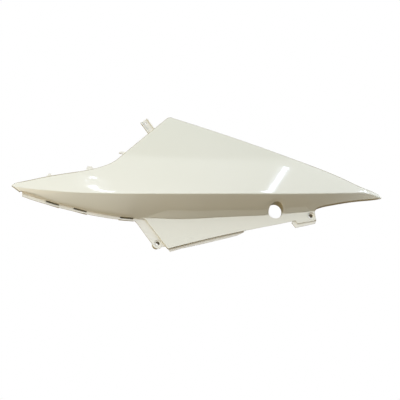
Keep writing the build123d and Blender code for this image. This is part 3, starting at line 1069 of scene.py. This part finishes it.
@dataclass
class Studio:
    """Pale floor, soft lights and the photograph's camera, in metres and degrees unless a name says mm."""

    floor: FloorPaper = field(default_factory=FloorPaper)
    floor_z: float = -0.80
    floor_size: float = 8.0
    # The photograph's frame is 400 pixels square, and the panel's origin falls on this pixel
    frame_pixels: int = 400
    origin_pixel: Point = (157.6, 243.4)
    mm_per_pixel: float = 1.65
    camera_azimuth: float = -10.0
    camera_elevation: float = -12.0
    camera_distance: float = 3.0
    sensor_mm: float = 36.0
    # Daylight from the left, the front, high on the right and behind, and what a warm floor throws back
    daylight: str = "f5f9fd"
    floor_light: str = "ffe0b0"
    day_glows: tuple[Glow, ...] = (
        Glow(-75.0, 5.0, 32.0, 3.1), Glow(-75.0, 35.0, 32.0, 2.6), Glow(0.0, 10.0, 32.0, 1.25),
        Glow(75.0, 40.0, 32.0, 2.05), Glow(180.0, 25.0, 80.0, 0.25), Glow(130.0, 10.0, 28.0, 4.5),
    )
    floor_glows: tuple[Glow, ...] = (
        Glow(-45.0, -20.0, 32.0, 1.85), Glow(-80.0, -20.0, 32.0, 0.6), Glow(-110.0, -50.0, 34.0, 0.95),
        Glow(180.0, -40.0, 50.0, 0.4),
    )
    # Bright wall in front of the panel: elevations of its soft foot and of its sharper top edge, and the y of
    # the directions over which it fades to the side
    wall_strength: float = 1.08
    wall_foot: Point = (5.0, 30.0)
    wall_top: Point = (47.5, 50.5)
    wall_side: Point = (-0.35, -0.05)
    # Bluish, because the reflections fade to a neutral white over the warm ivory
    window_light: str = "dce4ff"
    # Their reflections are the photograph's highlights on nose, right face and tail
    windows: tuple[SoftBox, ...] = (
        SoftBox("upper_nose_window", (-111.0, -18.0, 102.0), -10.0, 37.7, 0.058, 0.034, 0.0, 16.0),
        SoftBox("nose_window_latch", (-118.0, -18.0, 97.0), -11.0, 36.1, 0.030, 0.020, 0.0, 12.0),
        SoftBox("lower_nose_window", (-107.0, -21.0, 86.0), -10.1, 33.4, 0.085, 0.125, 30.0, 9.0),
        SoftBox("nose_window_sill", (-80.0, -26.0, 79.0), -7.9, 32.3, 0.135, 0.028, 0.0, 18.0),
        SoftBox("nose_window_haze", (-108.0, -19.0, 95.0), -10.0, 35.5, 0.28, 0.30, 0.0, 0.6),
        SoftBox("slanted_strip", (190.0, -27.0, 112.0), 25.8, 39.7, 0.056, 0.78, -29.0, 9.0),
        SoftBox("slanted_strip_haze", (190.0, -27.0, 112.0), 26.4, 40.8, 0.11, 0.64, -29.0, 1.4),
        SoftBox("slanted_strip_sill", (172.0, -34.0, 87.0), 22.0, 35.5, 0.115, 0.016, 0.0, 24.0),
        SoftBox("tail_window", (345.0, -11.0, 99.0), 43.5, 30.0, 0.45, 0.45, 0.0, 7.0),
        SoftBox("tail_window_sill", (345.0, -11.0, 99.0), 43.4, 35.2, 0.36, 0.012, 0.0, 18.0),
    )

    @staticmethod
    def direction(azimuth: float, elevation: float) -> Vector:
        """Unit direction out from the panel: azimuth 0 is straight in front, positive toward the tail."""
        a, e = math.radians(azimuth), math.radians(elevation)
        return Vector((math.sin(a) * math.cos(e), -math.cos(a) * math.cos(e), math.sin(e)))

    def add_floor(self) -> bpy.types.Object:
        """Lays the floor well below the panel, because the photograph looks up at it.

        Returns:
            The floor.
        """
        half = self.floor_size / 2
        mesh = bpy.data.meshes.new("floor")
        corners = np.array([(-half, -half), (half, -half), (half, half), (-half, half)])
        mesh.from_pydata([(x, y, self.floor_z) for x, y in corners], [], [(0, 1, 2, 3)])
        mesh.materials.append(self.floor.make())
        floor = add_object("floor", mesh)
        # The floor shows in other views, but the panel hangs far above it and takes no light from it
        floor.visible_diffuse = floor.visible_glossy = floor.visible_shadow = False
        return floor

    def add_camera(self) -> bpy.types.Object:
        """Sets the camera by where the panel's origin falls in the photograph.

        Returns:
            The camera, which looks along its direction with no roll.
        """
        back = self.direction(self.camera_azimuth, self.camera_elevation)
        a = math.radians(self.camera_azimuth)
        right = Vector((math.cos(a), math.sin(a), 0))
        up = back.cross(right)
        middle = self.frame_pixels / 2
        scale = self.mm_per_pixel * MM
        aside, above = middle - self.origin_pixel[0], self.origin_pixel[1] - middle
        aim = right * (aside * scale) + up * (above * scale)
        data = bpy.data.cameras.new("camera")
        data.sensor_width = self.sensor_mm
        data.lens = self.sensor_mm * self.camera_distance / (self.frame_pixels * scale)
        camera = add_object("camera", data)
        camera.location = aim + back * self.camera_distance
        camera.rotation_mode = "QUATERNION"
        camera.rotation_quaternion = (-back).to_track_quat("-Z", "Y")
        bpy.context.scene.camera = camera
        return camera

    def add_world(self) -> None:
        """Wraps the studio in soft glows and a bright wall, plain white where the camera sees it.

        A glow's share is a smooth step of the cosine between its middle and the direction looked in, from the
        cosine of its spread up to one. The wall's share is the product of three smooth steps: foot, top and
        side.
        """
        world = bpy.data.worlds.new("studio")
        world.use_nodes = True
        tree = world.node_tree
        tree.nodes.clear()
        place = add_node(tree, "ShaderNodeTexCoord").outputs["Generated"]
        toward = add_node(tree, "ShaderNodeVectorMath", {}, {0: place}, operation="NORMALIZE").outputs[0]
        total = None
        lit = [(g, self.daylight) for g in self.day_glows] + [(g, self.floor_light) for g in self.floor_glows]
        for glow, colour in lit:
            middle = self.direction(glow.azimuth, glow.elevation)
            cosine = add_node(tree, "ShaderNodeVectorMath", {1: middle}, {0: toward},
                              operation="DOT_PRODUCT").outputs["Value"]
            share = add_soft_step(tree, cosine, math.cos(math.radians(glow.spread)), 1.0)
            total = self.add_light_of(tree, total, share, colour, glow.strength)
        parts = add_node(tree, "ShaderNodeSeparateXYZ", {}, {0: toward}).outputs
        foot, top = [[math.sin(math.radians(a)) for a in pair] for pair in (self.wall_foot, self.wall_top)]
        wall = add_soft_step(tree, parts["Z"], *foot)
        for source, span in ((parts["Z"], top), (parts["Y"], self.wall_side)):
            fading = add_soft_step(tree, source, *span, 1.0, 0.0)
            wall = add_node(tree, "ShaderNodeMath", {}, {0: wall, 1: fading}, operation="MULTIPLY").outputs[0]
        total = self.add_light_of(tree, total, wall, self.daylight, self.wall_strength)
        shade = add_node(tree, "ShaderNodeBackground", {}, {"Color": total})
        white = add_node(tree, "ShaderNodeBackground", {"Color": (1, 1, 1, 1), "Strength": 1.0})
        seen = add_node(tree, "ShaderNodeLightPath").outputs["Is Camera Ray"]
        mixed = add_node(tree, "ShaderNodeMixShader", {}, {0: seen, 1: shade.outputs[0], 2: white.outputs[0]})
        add_node(tree, "ShaderNodeOutputWorld", {}, {"Surface": mixed.outputs[0]})
        bpy.context.scene.world = world

    @staticmethod
    def add_light_of(tree: Tree, total: Socket | None, share: Socket, colour: str, strength: float) -> Socket:
        """Adds share times colour times strength to the light so far.

        Args:
            tree: the world's node tree.
            total: the light so far, or None.
            share: how much of this light each direction gets.
            colour: its hex colour.
            strength: its strength.

        Returns:
            The new total.
        """
        vector = [c * strength for c in linear(colour)[:3]]
        part = add_node(tree, "ShaderNodeVectorMath", {0: vector}, {"Scale": share},
                        operation="SCALE").outputs[0]
        if total is None:
            return part
        return add_node(tree, "ShaderNodeVectorMath", {}, {0: total, 1: part}, operation="ADD").outputs[0]

    def add_windows(self) -> None:
        """Hangs each window light where it stands as seen from its spot on the panel, facing that spot."""
        for window in self.windows:
            data = bpy.data.lights.new(window.name, "AREA")
            data.shape = "RECTANGLE"
            data.size, data.size_y = window.width, window.height
            data.energy = window.radiance * math.pi * window.width * window.height
            data.color = linear(self.window_light)[:3]
            light = add_object(window.name, data)
            out = self.direction(window.azimuth, window.elevation)
            light.location = Vector(window.spot_mm) * MM + out * window.distance
            light.rotation_mode = "QUATERNION"
            turn = Quaternion(out, math.radians(window.roll))
            light.rotation_quaternion = turn @ (-out).to_track_quat("-Z", "Y")
            light.visible_camera = False

    def build(self) -> None:
        """Sets up floor, camera, world, lights and a plain picture tone."""
        self.add_floor()
        self.add_camera()
        self.add_world()
        self.add_windows()
        view = bpy.context.scene.view_settings
        view.view_transform = "Standard"
        view.look = "None"


def main() -> None:
    """Builds the pieces in order and reports each."""
    logging.basicConfig(level=logging.INFO, format="%(message)s")
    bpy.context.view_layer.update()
    coat = PaintedSkin()
    pieces = [Moulding().dress(), coat.build()]
    finish = pieces[-1].data.materials[0]
    pieces += [EdgeBead(coat.skin, hole).build(finish) for hole in coat.holes]
    for piece in pieces:
        log.info("%s: %d faces", piece.name, len(piece.data.polygons))
    Studio().build()


if __name__ == "__main__":
    main()
